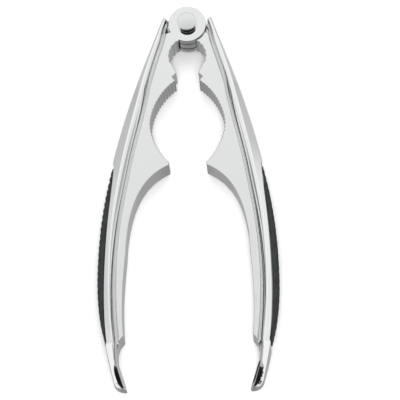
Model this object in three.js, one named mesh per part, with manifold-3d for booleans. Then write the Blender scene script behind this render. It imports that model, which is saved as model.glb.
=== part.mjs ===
// Plier nutcracker, lying open on its back: two cast arms with raised rims, joined by one pivot pin.
// Units are millimetres. X is the width, +Y runs from the handles to the hinge, +Z is up along the pivot.
// The origin is on the pivot axis, in the plane that the tool lies on.
import * as THREE from 'three';
import { mergeVertices } from 'three/addons/utils/BufferGeometryUtils.js';
import Module from 'manifold-3d';

// Overall course of an arm, seen from the front.
const REACH = 171; // pivot axis to the tip of a handle
const SPREAD = 38.9; // half the width over the rims, where they are furthest apart
const HINGE_RISE = 2.5; // how far the rims run on past the pivot
const HINGE_LEAN = 0.9; // how far they close in over that rise

// Thicknesses, each measured from the middle plane of the tool.
const RIM_HALF_DEPTH = 9.5;
const WEB_HALF_DEPTH = 7;
const SHELF_HALF_DEPTH = 6.2; // floor of the valley between rim and web
const TIP_HALF_DEPTH = 3.6;
const TIP_SHELF_HALF_DEPTH = 2.2;

// Rim and valley. The rim slopes off to both sides of a narrow crest.
const RIM_END_WIDTH = 3.6; // outer edge to web, where the rim ends beside the hinge
const RIM_END_WALL = 2.6; // what the other arm's clearance leaves of it there
const CREST_START = [[0, 0.11], [0.2, 0.33], [0.41, 0.44], [0.64, 0.5]]; // shares of the width there
const CREST_END = [[0, 0.61], [0.88, 0.61], [0.94, 0.56]];
const CREST_DROP = 0.12; // how far the crest's edges lie below its middle
const BEVEL_DROP = 1.2; // how far the outer slope falls from there
const FLANK_EDGE = 0.35; // rounding between that slope and the flank
const SLOPE_LEAST = 1; // least width of the inner slope
const VALLEY_WIDTH = 0.3; // flat floor of the valley, beside the web
const JAW_WALL = 1.8; // least thickness of the web between the large pocket and the valley
const SHELF_UNDERLAP = 1.5; // how far the rim's casting runs in below the web
const TIP_UNDERLAP = 0.1; // and past the end of the web
const TIP_ROUND = 4.6; // length of the rounded end of a handle
const TIP_ROUND_LIMIT = 0.985; // where the rounding stops, short of a sharp edge

// Hinge.
const PIN_R = 3;
const PIN_CLEARANCE = 0.1; // between the pin and each bore
const PIN_HEAD_R = 4.3;
const PIN_HEAD_RISE = 3.2; // front head, above the front ear
const PIN_HEAD_CHAMFER = 0.35;
const COLLAR_R = 4.6; // ring that closes the pin at the rear
const COLLAR_FIT = 0.05; // between the pin and the collar's bore
const SEAT_GAP = 0.05; // under the head and the collar
const EAR_R = 8.5;
const EAR_GAP = 0.8; // between the round ears and the other arm
const LUG_HALF_DEPTH = 2.5;
const WASHER_R = 7.4;
const WASHER_THICKNESS = 0.5;
const WASHER_CLEARANCE = 0.15; // on each side of a washer
const HINGE_SEGMENTS = 48;

// Hazelnut pocket, next to the hinge.
const HAZELNUT_Y = -15.3;
const HAZELNUT_R = 8.1;
const HAZELNUT_END_ANGLE = -25; // degrees, where the round wall turns into the straight one
const HAZELNUT_TEETH = 5;
const CUSP_X = 5;
const CUSP_Y = -23.6;
const NOTCH_X = 7;
const NOTCH_Y = -25.4;

// Walnut pocket, below it.
const WALNUT_Y = -47.9;
const WALNUT_HALF_WIDTH = 16.6;
const WALNUT_HALF_LENGTH = 22.3;
const WALNUT_POWER = 1.7; // 2 would be an ellipse, less is more pointed
const WALNUT_START_X = 5.4;
const WALNUT_TEETH = 25;
const TOOTH_DEPTH = 0.45;
const TOOTH_STEPS = 3;
const JAW_TIP_X = 8.3;
const JAW_TIP_FACE = 1.5; // short flat that meets the other jaw

// Handle strip and its end.
const STRIP_START = 0.635; // share of the reach where the jaw's sweep joins the handle
const STRIP_WIDTH_START = 11.1;
const STRIP_WIDTH_END = 8.5;
const SWEEP_START_PULL = 14.5; // how strongly the sweep leaves the jaw tip
const SWEEP_END_PULL = 21; // how strongly it settles on the handle
const SWEEP_START_ANGLE = -23; // degrees
const PLATEAU_END = 21; // from the tip of the handle back to the end of the web's face
const PLATEAU_BEVEL = 2.4; // length of the slanted end of that face
const SHOULDER_HOLLOW = 7; // length of the hollow below the web's shoulder
const HOLLOW_OVERLAP = 0.3; // how far the hollow's end runs into the tip
const SCOOP_R = 20; // radius of the shallow scoop in each face of the tip
const SCOOP_DEPTH = 0.75;
const SCOOP_TILT = 17; // degrees, down towards the end of the handle
const SCOOP_INSET = 3.1; // its centre, in from the outer side of the tip
const SCOOP_BACK = 6; // its centre, back from the end of the tip

// Grip pads.
const GRIP_START = 0.397; // shares of the reach
const GRIP_END = 0.872;
const GRIP_RECESS = 2.1; // how far the rim is let in under the pad
const GRIP_RECESS_RUN = 0.01; // share of the reach over which it steps down at each end
const RECESS_SHAPE = [[0, 0.5], [0.08, 0.8], [0.2, 1], [0.5, 0.95], [0.8, 0.7], [1, 0.45]]; // along the pad
const GRIP_PROUD = [[0, -0.1], [0.155, 0.2], [0.385, 0.75], [0.64, 1.15], [0.765, 1.15], [0.89, 0.75], [1, 0.1]];
const GRIP_FIT = 0.3; // between pad and rim
const GRIP_HALF_DEPTH = 8;
const GRIP_EDGE = 0.9; // rounded edges of the pad
const GRIP_CROWN = 0.35; // how far its middle stands above its edges

const RIM_STEPS = 44;
const GRIP_STEPS = 32;
const OUTLINE_STEPS = 14;
const HINGE_CLEAR_R = EAR_R + EAR_GAP;
const FORK_HALF_GAP = LUG_HALF_DEPTH + WASHER_THICKNESS + 2 * WASHER_CLEARANCE;
const BORE_R = PIN_R + PIN_CLEARANCE;

const wasm = await Module();
wasm.setup();

// ---------------------------------------------------------------- helpers

// Value at x of a smooth curve through stations [x, value], held level beyond the first and the last.
function eased(stations, x) {
  const last = stations.length - 1;
  const clamped = THREE.MathUtils.clamp(x, stations[0][0], stations[last][0]);
  const i = Math.min(last - 1, stations.findLastIndex((station) => station[0] <= clamped));
  const slopeAt = (k) => {
    if (k === 0 || k === last) return 0;
    return (stations[k + 1][1] - stations[k - 1][1]) / (stations[k + 1][0] - stations[k - 1][0]);
  };
  const [x0, v0] = stations[i];
  const [x1, v1] = stations[i + 1];
  const [t, run] = [(clamped - x0) / (x1 - x0), x1 - x0];
  const blend = t * t * (3 - 2 * t);
  const bends = t * (1 - t) * (1 - t) * slopeAt(i) * run - t * t * (1 - t) * slopeAt(i + 1) * run;
  return THREE.MathUtils.lerp(v0, v1, blend) + bends;
}

// Turns a closed surface the right way out, which mirroring or a clockwise section reverses.
function facingOut(geometry) {
  const p = geometry.getAttribute('position');
  const index = geometry.getIndex().array;
  const [a, b, c] = [new THREE.Vector3(), new THREE.Vector3(), new THREE.Vector3()];
  let volume = 0;
  for (let i = 0; i < index.length; i += 3) {
    a.fromBufferAttribute(p, index[i]);
    b.fromBufferAttribute(p, index[i + 1]);
    c.fromBufferAttribute(p, index[i + 2]);
    volume += a.dot(b.cross(c));
  }
  if (volume < 0) index.reverse();
  return geometry;
}

// Closed surface through a row of rings. Each ring has its points in space and, as its section, the
// same points in 2-D, counter-clockwise.
function loft(rings) {
  const count = rings[0].points.length;
  const positions = rings.flatMap((ring) => ring.points.flatMap((point) => point.toArray()));
  const index = [];
  for (let r = 0; r < rings.length - 1; r++) {
    for (let i = 0; i < count; i++) {
      const next = (i + 1) % count;
      const [a, b] = [r * count + i, r * count + next];
      index.push(a, b, b + count, a, b + count, a + count);
    }
  }
  const end = (rings.length - 1) * count;
  for (const [a, b, c] of THREE.ShapeUtils.triangulateShape(rings[0].section, [])) index.push(a, c, b);
  for (const [a, b, c] of THREE.ShapeUtils.triangulateShape(rings.at(-1).section, [])) {
    index.push(end + a, end + b, end + c);
  }
  const geometry = new THREE.BufferGeometry();
  geometry.setAttribute('position', new THREE.Float32BufferAttribute(positions, 3));
  geometry.setIndex(index);
  return geometry;
}

// Plate of the outline's shape, from one height to another.
function plate(outline, bottom, top) {
  const settings = { depth: top - bottom, bevelEnabled: false };
  return new THREE.ExtrudeGeometry(new THREE.Shape(outline), settings).translate(0, 0, bottom);
}

// Round bar along the pivot axis.
function disc(radius, bottom, top) {
  return new THREE.CylinderGeometry(radius, radius, top - bottom, HINGE_SEGMENTS)
    .rotateX(Math.PI / 2)
    .translate(0, 0, (top + bottom) / 2);
}

function solid(geometry) {
  const bare = geometry.clone();
  bare.deleteAttribute('normal');
  bare.deleteAttribute('uv');
  const merged = facingOut(mergeVertices(bare));
  const vertProperties = new Float32Array(merged.getAttribute('position').array);
  const triVerts = new Uint32Array(merged.getIndex().array);
  return new wasm.Manifold(new wasm.Mesh({ numProp: 3, vertProperties, triVerts }));
}

function surface(body) {
  const { vertProperties, triVerts } = body.getMesh();
  const geometry = new THREE.BufferGeometry();
  geometry.setAttribute('position', new THREE.BufferAttribute(new Float32Array(vertProperties), 3));
  geometry.setIndex(new THREE.BufferAttribute(new Uint32Array(triVerts), 1));
  return geometry;
}

// ---------------------------------------------------------------- the rim's course

// Outer edge of the right arm, from the hinge end to the tip: shares of the reach and of the flare.
const flankX = HINGE_CLEAR_R + RIM_END_WALL;
const course = [
  [0.14, 0.331],
  [0.306, 0.665],
  [0.472, 0.9],
  [0.65, 1],
  [0.814, 0.967],
  [0.915, 0.868],
  [1, 0.743],
];
const rimCurve = new THREE.CatmullRomCurve3([
  new THREE.Vector3(flankX - HINGE_LEAN, HINGE_RISE, 0),
  new THREE.Vector3(flankX, 0, 0),
  ...course.map(([down, out]) => new THREE.Vector3(flankX + out * (SPREAD - flankX), -down * REACH, 0)),
]);

// Share of the reach at a point of the course: 0 beside the pivot, 1 at the tip.
const shareOf = (point) => -point.y / REACH;

// Distance of the course from the middle of the tool, at a share of the reach.
const courseSamples = rimCurve.getPoints(400);
function outerX(share) {
  const i = Math.max(1, courseSamples.findIndex((point) => shareOf(point) >= share));
  const [a, b] = [courseSamples[i - 1], courseSamples[i]];
  return THREE.MathUtils.mapLinear(share, shareOf(a), shareOf(b), a.x, b.x);
}

// Half width of the large pocket, without its teeth, at a place along the tool.
function pocketHalfWidth(y) {
  const part = Math.min(1, Math.abs(y - WALNUT_Y) / WALNUT_HALF_LENGTH);
  return WALNUT_HALF_WIDTH * (1 - part ** WALNUT_POWER) ** (1 / WALNUT_POWER);
}

// Distance from the rim's outer edge in to the web's raised face, which leaves a wall to the pocket.
function webInset(share) {
  const chosen = eased(
    [
      [0, RIM_END_WIDTH],
      [0.05, 4.5],
      [0.1, 5],
      [0.15, 5.7],
      [0.2, 7],
      [0.26, 7.9],
      [0.35, 8.4],
      [0.45, 8.7],
      [0.55, 8.2],
      [0.65, 7.6],
      [0.8, 6.9],
      [0.87, 6.3],
      [0.9, 5.4],
      [0.925, 4.8],
      [0.95, 5.2],
      [1, 5.7],
    ],
    share,
  );
  const pocket = pocketHalfWidth(-share * REACH);
  if (pocket === 0) return chosen;
  return Math.min(chosen, outerX(share) - pocket - TOOTH_DEPTH - JAW_WALL);
}

const valleyInset = (share) => webInset(share) - 2 * VALLEY_WIDTH;
const underlap = (share) =>
  eased([[0.01, TIP_UNDERLAP], [0.06, SHELF_UNDERLAP], [0.86, SHELF_UNDERLAP], [0.9, TIP_UNDERLAP]], share);
const shelfInset = (share) => valleyInset(share) + underlap(share);
const rimDepth = (share) => eased([[0.88, RIM_HALF_DEPTH], [1, TIP_HALF_DEPTH]], share);
const shelfDepth = (share) => eased([[0.88, SHELF_HALF_DEPTH], [1, TIP_SHELF_HALF_DEPTH]], share);

// How far the rim is let in for the pad: a hollow with a short step at each end.
function gripRecess(share) {
  const along = (share - GRIP_START) / (GRIP_END - GRIP_START);
  const run = GRIP_RECESS_RUN;
  const step = eased([[GRIP_START - run, 0], [GRIP_START, 1], [GRIP_END, 1], [GRIP_END + run, 0]], share);
  return GRIP_RECESS * step * eased(RECESS_SHAPE, along);
}

// Point at arc share q of the rim's course, moved in from its outer edge and up from the middle plane.
function fromRim(q, inset, height = 0) {
  const point = rimCurve.getPointAt(q);
  const tangent = rimCurve.getTangentAt(q);
  return new THREE.Vector3(point.x + tangent.y * inset, point.y - tangent.x * inset, height);
}

// Arc share of the course at a share of the reach.
function arcShare(share) {
  let [low, high] = [0, 1];
  for (let i = 0; i < 40; i++) {
    const middle = (low + high) / 2;
    if (shareOf(rimCurve.getPointAt(middle)) < share) low = middle;
    else high = middle;
  }
  return low;
}

// Half of the rim's section above the middle plane, as [inset, height], from the outer side inward.
function rimProfile(share) {
  const [top, shelf] = [rimDepth(share), shelfDepth(share)];
  const width = webInset(share);
  const start = width * eased(CREST_START, share);
  const end = Math.min(width * eased(CREST_END, share), valleyInset(share) - SLOPE_LEAST);
  const recess = gripRecess(share);
  const crest = top - CREST_DROP;
  const fall = Math.max(0, 1 - recess / start);
  const flankTop = crest - BEVEL_DROP * fall;
  const edge = FLANK_EDGE * fall;
  return [
    [recess, flankTop - 2 * edge],
    [recess + edge * 0.25, flankTop - edge * 0.6],
    [recess + edge, flankTop + (BEVEL_DROP * edge) / start],
    [Math.max(start, recess + 1.2 * edge), crest],
    [(Math.max(start, recess) + end) / 2, top],
    [end, crest],
    [valleyInset(share), shelf],
    [shelfInset(share), shelf],
  ];
}

// Section of the rim at arc share q, with a share of its width cut away from the outer side.
function rimRing(q, cutAway = 0) {
  const share = shareOf(rimCurve.getPointAt(q));
  const kept = (inset) => THREE.MathUtils.lerp(inset, shelfInset(share), cutAway);
  const upper = rimProfile(share).map(([inset, height]) => [kept(inset), height]);
  const lower = upper.map(([inset, height]) => [inset, -height]).reverse();
  const section = [...upper, ...lower].map(([inset, height]) => new THREE.Vector2(-inset, height));
  return { section, points: section.map((p) => fromRim(q, -p.x, p.y)) };
}

function rim() {
  const length = rimCurve.getLength();
  const roundStart = 1 - TIP_ROUND / length;
  const stations = Array.from({ length: RIM_STEPS + 1 }, (_, i) => (roundStart * i) / RIM_STEPS);
  const parts = [0, 0.25, 0.5, 0.75, 1].map((part) => part * GRIP_RECESS_RUN);
  const steps = parts.flatMap((part) => [GRIP_START - GRIP_RECESS_RUN + part, GRIP_END + part]).map(arcShare);
  const rings = [...stations, ...steps].sort((a, b) => a - b).map((q) => rimRing(q));
  const roundSteps = 7;
  for (let i = 1; i <= roundSteps; i++) {
    const reach = TIP_ROUND_LIMIT * Math.sin((i / roundSteps) * (Math.PI / 2));
    const q = roundStart + (1 - roundStart) * reach;
    rings.push(rimRing(q, 1 - Math.sqrt(1 - reach * reach)));
  }
  return loft(rings);
}

// ---------------------------------------------------------------- the web's outline

// Wall of the walnut pocket, from its hinge end to the jaw tip.
class WalnutWall extends THREE.Curve {
  static angleAt(x) {
    return Math.acos((x / WALNUT_HALF_WIDTH) ** (WALNUT_POWER / 2));
  }

  getPoint(t, target = new THREE.Vector3()) {
    const angle = THREE.MathUtils.lerp(WalnutWall.angleAt(WALNUT_START_X), -WalnutWall.angleAt(JAW_TIP_X), t);
    const x = WALNUT_HALF_WIDTH * Math.cos(angle) ** (2 / WALNUT_POWER);
    const drop = WALNUT_HALF_LENGTH * Math.abs(Math.sin(angle)) ** (2 / WALNUT_POWER);
    return target.set(x, WALNUT_Y + Math.sign(angle) * drop, 0);
  }
}

// Round wall of the hazelnut pocket, from the ear's clearance circle to the straight wall.
class HazelnutWall extends THREE.Curve {
  static startAngle() {
    const drop = (HINGE_CLEAR_R ** 2 - HAZELNUT_R ** 2 + HAZELNUT_Y ** 2) / (2 * HAZELNUT_Y);
    return Math.asin((drop - HAZELNUT_Y) / HAZELNUT_R);
  }

  getPoint(t, target = new THREE.Vector3()) {
    const end = THREE.MathUtils.degToRad(HAZELNUT_END_ANGLE);
    const angle = THREE.MathUtils.lerp(HazelnutWall.startAngle(), end, t);
    return target.set(HAZELNUT_R * Math.cos(angle), HAZELNUT_Y + HAZELNUT_R * Math.sin(angle), 0);
  }
}

// A wall cut with round grooves, which leave sharp ridges between them.
function toothed(wall, teeth) {
  const steps = teeth * TOOTH_STEPS;
  return Array.from({ length: steps + 1 }, (_, i) => {
    const q = i / steps;
    const tangent = wall.getTangentAt(q);
    const depth = TOOTH_DEPTH * Math.abs(Math.sin(Math.PI * q * teeth));
    const point = wall.getPointAt(q);
    return new THREE.Vector2(point.x - tangent.y * depth, point.y + tangent.x * depth);
  });
}

const flat = (point) => new THREE.Vector2(point.x, point.y);

// Inner side of the handle: its inset from the rim's outer edge, at a share of the reach.
const shoulderShare = 1 - (PLATEAU_END + PLATEAU_BEVEL) / REACH;
const bevelEndShare = 1 - PLATEAU_END / REACH;
const stripInset = (share) =>
  THREE.MathUtils.mapLinear(share, STRIP_START, shoulderShare, STRIP_WIDTH_START, STRIP_WIDTH_END);

// Inner edge of the right arm from the pivot to the end of the handle's web.
function innerEdge(endShare) {
  const jawWall = new WalnutWall();
  const jawTip = flat(jawWall.getPointAt(1));
  const faceEnd = jawTip.clone().setLength(jawTip.length() + JAW_TIP_FACE);
  const stripTop = flat(fromRim(arcShare(STRIP_START), stripInset(STRIP_START)));
  const startAngle = THREE.MathUtils.degToRad(SWEEP_START_ANGLE);
  const leave = new THREE.Vector2(Math.cos(startAngle), Math.sin(startAngle)).multiplyScalar(SWEEP_START_PULL);
  const settle = flat(rimCurve.getTangentAt(arcShare(STRIP_START))).multiplyScalar(-SWEEP_END_PULL);
  const sweep = new THREE.CubicBezierCurve(
    faceEnd,
    faceEnd.clone().add(leave),
    stripTop.clone().add(settle),
    stripTop,
  );
  const strip = Array.from({ length: OUTLINE_STEPS }, (_, i) => {
    const share = THREE.MathUtils.lerp(STRIP_START, endShare, (i + 1) / OUTLINE_STEPS);
    return flat(fromRim(arcShare(share), stripInset(share)));
  });
  return [
    ...toothed(new HazelnutWall(), HAZELNUT_TEETH),
    new THREE.Vector2(CUSP_X, CUSP_Y),
    new THREE.Vector2(NOTCH_X, NOTCH_Y),
    ...toothed(jawWall, WALNUT_TEETH),
    ...sweep.getPoints(OUTLINE_STEPS),
    ...strip,
  ];
}

// Line that follows the rim back up to the hinge, at an inset that depends on the share of the reach.
function outerEdge(fromShare, toShare, inset) {
  return Array.from({ length: OUTLINE_STEPS * 2 + 1 }, (_, i) => {
    const share = THREE.MathUtils.lerp(fromShare, toShare, i / (OUTLINE_STEPS * 2));
    return flat(fromRim(arcShare(share), inset(share)));
  });
}

const PIVOT = new THREE.Vector2(0, 0);
const WEB_HINGE_SHARE = 0.02; // where the web's outer edge reaches the ear

// Raised face of the web, with its slanted end.
function plateauOutline() {
  const inset = (share) => webInset(share) - VALLEY_WIDTH;
  return [PIVOT, ...innerEdge(shoulderShare), ...outerEdge(bevelEndShare, WEB_HINGE_SHARE, inset)];
}

// Lower body of the web, which hollows out into the tip below its shoulder.
function coreOutline() {
  const hollowEnd = shoulderShare + SHOULDER_HOLLOW / REACH;
  const start = flat(fromRim(arcShare(shoulderShare), stripInset(shoulderShare)));
  const bend = flat(fromRim(arcShare(bevelEndShare), shelfInset(hollowEnd)));
  const end = flat(fromRim(arcShare(hollowEnd), shelfInset(hollowEnd) - HOLLOW_OVERLAP));
  const hollow = new THREE.QuadraticBezierCurve(start, bend, end).getPoints(OUTLINE_STEPS / 2).slice(1);
  const inset = (share) => webInset(share) / 2;
  return [PIVOT, ...innerEdge(shoulderShare), ...hollow, ...outerEdge(hollowEnd, WEB_HINGE_SHARE * 2, inset)];
}

// ---------------------------------------------------------------- arms

// Ball that cuts a shallow scoop in one face of the tip, sloping down towards its end.
function tipScoop(side) {
  const q = 1 - SCOOP_BACK / rimCurve.getLength();
  const share = shareOf(rimCurve.getPointAt(q));
  const tilt = THREE.MathUtils.degToRad(SCOOP_TILT);
  const facing = rimCurve.getTangentAt(q).multiplyScalar(Math.sin(tilt));
  facing.z = side * Math.cos(tilt);
  const centre = fromRim(q, SCOOP_INSET, side * (rimDepth(share) - SCOOP_DEPTH));
  centre.addScaledVector(facing, SCOOP_R);
  return new THREE.SphereGeometry(SCOOP_R, 64, 48).translate(centre.x, centre.y, centre.z);
}

// Right arm before the hinge is cut: rim, web and tip.
function armBlank() {
  return [
    plate(plateauOutline(), -WEB_HALF_DEPTH, WEB_HALF_DEPTH),
    plate(coreOutline(), -SHELF_HALF_DEPTH, SHELF_HALF_DEPTH),
  ]
    .map(solid)
    .reduce((body, piece) => body.add(piece), solid(rim()))
    .subtract(solid(tipScoop(1)))
    .subtract(solid(tipScoop(-1)));
}

// The arm with the middle lug: its ends clear both ears of the other arm.
function lugArm() {
  const above = RIM_HALF_DEPTH + 1;
  return armBlank()
    .subtract(solid(disc(HINGE_CLEAR_R, LUG_HALF_DEPTH, above)))
    .subtract(solid(disc(HINGE_CLEAR_R, -above, -LUG_HALF_DEPTH)))
    .add(solid(disc(EAR_R, -LUG_HALF_DEPTH, LUG_HALF_DEPTH)))
    .subtract(solid(disc(BORE_R, -above, above)));
}

// The arm with the fork: two ears, with room for the lug and its washers between them.
function forkArm() {
  const above = RIM_HALF_DEPTH + 1;
  return armBlank()
    .add(solid(disc(EAR_R, -WEB_HALF_DEPTH, WEB_HALF_DEPTH)))
    .subtract(solid(disc(HINGE_CLEAR_R, -FORK_HALF_GAP, FORK_HALF_GAP)))
    .subtract(solid(disc(BORE_R, -above, above)));
}

// ---------------------------------------------------------------- hinge hardware

// Body turned about the pivot axis, from a closed profile of [radius, height].
function turned(profile) {
  const points = profile.map(([radius, height]) => new THREE.Vector2(radius, height));
  return new THREE.LatheGeometry(points, HINGE_SEGMENTS).rotateX(Math.PI / 2);
}

function pivotPin() {
  const seat = WEB_HALF_DEPTH + SEAT_GAP;
  const top = WEB_HALF_DEPTH + PIN_HEAD_RISE;
  return turned([
    [0, -RIM_HALF_DEPTH],
    [PIN_R - PIN_HEAD_CHAMFER, -RIM_HALF_DEPTH],
    [PIN_R, -RIM_HALF_DEPTH + PIN_HEAD_CHAMFER],
    [PIN_R, seat],
    [PIN_HEAD_R, seat],
    [PIN_HEAD_R, top - PIN_HEAD_CHAMFER],
    [PIN_HEAD_R - PIN_HEAD_CHAMFER, top],
    [0, top],
  ]);
}

function pinCollar() {
  const inner = PIN_R + COLLAR_FIT;
  const seat = -WEB_HALF_DEPTH - SEAT_GAP;
  return turned([
    [inner, -RIM_HALF_DEPTH],
    [COLLAR_R - PIN_HEAD_CHAMFER, -RIM_HALF_DEPTH],
    [COLLAR_R, -RIM_HALF_DEPTH + PIN_HEAD_CHAMFER],
    [COLLAR_R, seat],
    [inner, seat],
    [inner, -RIM_HALF_DEPTH],
  ]);
}

function thrustWasher(side) {
  const near = side * (LUG_HALF_DEPTH + WASHER_CLEARANCE);
  const far = near + side * WASHER_THICKNESS;
  return turned([
    [BORE_R, near],
    [WASHER_R, near],
    [WASHER_R, far],
    [BORE_R, far],
    [BORE_R, near],
  ]);
}

// ---------------------------------------------------------------- grips

// Half the depth of the pad, drawn in at its rounded ends.
const gripDepth = (along) => GRIP_HALF_DEPTH * Math.min(1, 0.5 + Math.sqrt(Math.min(along, 1 - along) * 5));

// Pad on the outer side of the right arm's handle.
function gripPad() {
  const rings = Array.from({ length: GRIP_STEPS + 1 }, (_, i) => {
    const along = i / GRIP_STEPS;
    const share = THREE.MathUtils.lerp(GRIP_START, GRIP_END, along);
    const q = arcShare(share);
    const back = gripRecess(share) - GRIP_FIT;
    const face = -eased(GRIP_PROUD, along);
    const depth = gripDepth(along);
    const edge = Math.min(GRIP_EDGE, (back - face) * 0.6);
    const upper = [
      [face - GRIP_CROWN * Math.min(1, edge / GRIP_EDGE), depth * 0.4],
      [face, depth - edge],
      [face + 0.3 * edge, depth - 0.3 * edge],
      [face + edge, depth],
      [back, depth],
    ];
    const lower = upper.map(([inset, height]) => [inset, -height]).reverse();
    const section = [...upper, ...lower].map(([inset, height]) => new THREE.Vector2(-inset, height));
    return { section, points: section.map((p) => fromRim(q, -p.x, p.y)) };
  });
  return loft(rings);
}

// ---------------------------------------------------------------- the tool

const chrome = { color: 0xd9dbdc, roughness: 0.08, metalness: 1 };
const steel = { color: 0xc4c6c8, roughness: 0.22, metalness: 1 };
const rubber = { color: 0x2d3033, roughness: 0.75, metalness: 0 };
const nylon = { color: 0x1d1e20, roughness: 0.5, metalness: 0 };

const mirrored = (geometry) => geometry.clone().scale(-1, 1, 1);

function part(name, geometry, finish) {
  const bare = geometry.clone();
  bare.deleteAttribute('normal');
  bare.deleteAttribute('uv');
  const closed = facingOut(mergeVertices(bare));
  closed.computeVertexNormals();
  const mesh = new THREE.Mesh(closed, new THREE.MeshStandardMaterial(finish));
  mesh.name = name;
  return mesh;
}

const nutcracker = new THREE.Group();
nutcracker.name = 'nutcracker';
nutcracker.add(
  part('left_arm', mirrored(surface(forkArm())), chrome),
  part('right_arm', surface(lugArm()), chrome),
  part('left_grip', mirrored(gripPad()), rubber),
  part('right_grip', gripPad(), rubber),
  part('pivot_pin', pivotPin(), steel),
  part('pin_collar', pinCollar(), steel),
  part('front_washer', thrustWasher(1), nylon),
  part('rear_washer', thrustWasher(-1), nylon),
);
nutcracker.position.z = RIM_HALF_DEPTH;

export default nutcracker;
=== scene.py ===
"""A plier nutcracker: bright chrome castings with nubbed rubber grips, lying open on a pale table.

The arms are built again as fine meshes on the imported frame, with rounded crests, bevelled faces and teeth.
Shapes are worked out in millimetres, for the right arm; the left arm is its mirror image apart from the hinge.
Heights are measured from the middle plane of the tool.
"""

import math

import bpy
import numpy as np
from mathutils import Matrix, Vector


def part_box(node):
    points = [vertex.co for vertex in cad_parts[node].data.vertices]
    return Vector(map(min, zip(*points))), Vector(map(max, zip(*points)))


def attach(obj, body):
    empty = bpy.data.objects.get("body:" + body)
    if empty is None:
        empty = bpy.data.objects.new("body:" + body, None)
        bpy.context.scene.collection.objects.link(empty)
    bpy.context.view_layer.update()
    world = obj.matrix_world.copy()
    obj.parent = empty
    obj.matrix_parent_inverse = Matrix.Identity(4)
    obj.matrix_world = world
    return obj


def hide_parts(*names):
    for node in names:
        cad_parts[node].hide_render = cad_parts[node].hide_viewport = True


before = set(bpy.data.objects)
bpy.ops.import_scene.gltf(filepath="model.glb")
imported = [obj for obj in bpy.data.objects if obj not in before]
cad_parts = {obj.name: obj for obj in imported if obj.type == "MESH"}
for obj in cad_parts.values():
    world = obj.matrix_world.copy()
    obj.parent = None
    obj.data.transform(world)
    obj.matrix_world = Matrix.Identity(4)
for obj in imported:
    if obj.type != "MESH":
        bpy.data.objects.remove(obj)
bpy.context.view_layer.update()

MM = 0.001

# ---------------------------------------------------------------- sizes taken from the frame

SEAT_GAP = 0.05  # between an ear and the pin's head or collar
arm_low, arm_high = (np.array(corner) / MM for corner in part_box("right_arm"))
_, pin_high = (np.array(corner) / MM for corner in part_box("pivot_pin"))
_, collar_high = (np.array(corner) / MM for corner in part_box("pin_collar"))
washer_low, washer_high = (np.array(corner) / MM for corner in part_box("front_washer"))
grip_low, grip_high = (np.array(corner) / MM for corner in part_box("right_grip"))

MIDDLE = (arm_low[2] + arm_high[2]) / 2  # height of the middle plane over the floor
RIM_HALF_DEPTH = arm_high[2] - MIDDLE
EAR_R = arm_high[1]
PIN_HEAD_R = pin_high[0]
PIN_TOP = pin_high[2] - MIDDLE
COLLAR_R = collar_high[0]
COLLAR_SEAT = collar_high[2] - MIDDLE
WASHER_R = washer_high[0]
WASHER_NEAR = washer_low[2] - MIDDLE
WASHER_FAR = washer_high[2] - MIDDLE
GRIP_HALF_DEPTH = (grip_high[2] - grip_low[2]) / 2
WEB_HALF_DEPTH = -COLLAR_SEAT - SEAT_GAP

# ---------------------------------------------------------------- sizes of the visible detail

REACH = 170.98  # from the pivot down to the tips' outline, before its corners are rounded
SPREAD = 38.9  # widest place of the rim's outer edge, under the pad
HINGE_RISE, HINGE_LEAN = 2.5, 0.9
SHELF_HALF_DEPTH = 6.2
TIP_HALF_DEPTH = 3.6
TIP_SHELF_HALF_DEPTH = 2.2
EAR_GAP = 0.8
LUG_HALF_DEPTH = 2.5
FORK_HALF_GAP = 3.3
BORE_R = 3.1
PIN_R = 3.0
COLLAR_GAP = 0.05  # between the pin and its collar
PIN_CORE_R = 0.02  # the turned pin's skin ends this far from its axis
PIN_DIMPLE_DEPTH, PIN_DIMPLE_R, PIN_DIMPLE_RISE = 0.25, 0.5, 0.02  # hollow in the pin's rear end

RIM_END_WIDTH, RIM_END_WALL = 3.6, 2.6
CREST_START = [(0, 0.11), (0.2, 0.33), (0.41, 0.44), (0.64, 0.5)]  # shares of the rim's width
CREST_END = [(0, 0.61), (0.88, 0.61), (0.94, 0.56)]
CREST_LEAST = 0.1  # between the recess for the pad and the crest's start
BEVEL_DROP = 1.2  # how far the rim's outer bevel falls to the flank
CREST_DROP = 0.12  # how far the crest's two edges lie below its middle
SLOPE_LEAST = 1
VALLEY_WIDTH = 0.3
STRIP_SEEN = 0.65  # level strip at the foot of the web
CORE_SINK = 0.03  # how far the core lies under the level of that strip
FOOT_WIDTH, FOOT_RISE = 0.8, 0.58  # facet between the rim's inner slope and that strip
BEVEL_R, RECESSED_BEVEL_R = 0.6, 0.25  # corner radii of the rim's section, from its flank inward
CREST_MIDDLE_R, CREST_END_R = 1.5, 0.5
FOOT_R, STRIP_R = 0.25, 0.15
CORNER_REACH = 0.45  # most of a side that a rounded corner takes up
JAW_WALL = 1.8
SHELF_UNDERLAP, TIP_UNDERLAP = 1.5, 0.1
TIP_ROUND = 4.6
TIP_ROUND_LIMIT = 0.98

FACE_BEVEL = 0.45  # along the valley side of the web's face
EDGE_BREAK = 0.16  # along its other edges
EDGE_LEVELS = [(0, 0.85), (0.12, 0.66), (0.88, 0.1), (1, 0)]  # shares of the bevel, from the wall to the face
DISC_EDGE_SHAPE = 0.3  # share of a disc's bevel where it bends
CUT_OVERRUN = 1  # how far the hinge's cuts run past the rim
RIM_STATIONS = 230
ROUND_STEPS = 12
TOOTH_STEPS = 8
OUTLINE_STEPS = 60
WALL_SAMPLES = 1201
WALL_TANGENT_RUN = 0.05
HINGE_SEGMENTS = 128
SCOOP_COLUMNS, SCOOP_ROWS = 120, 80

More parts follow.
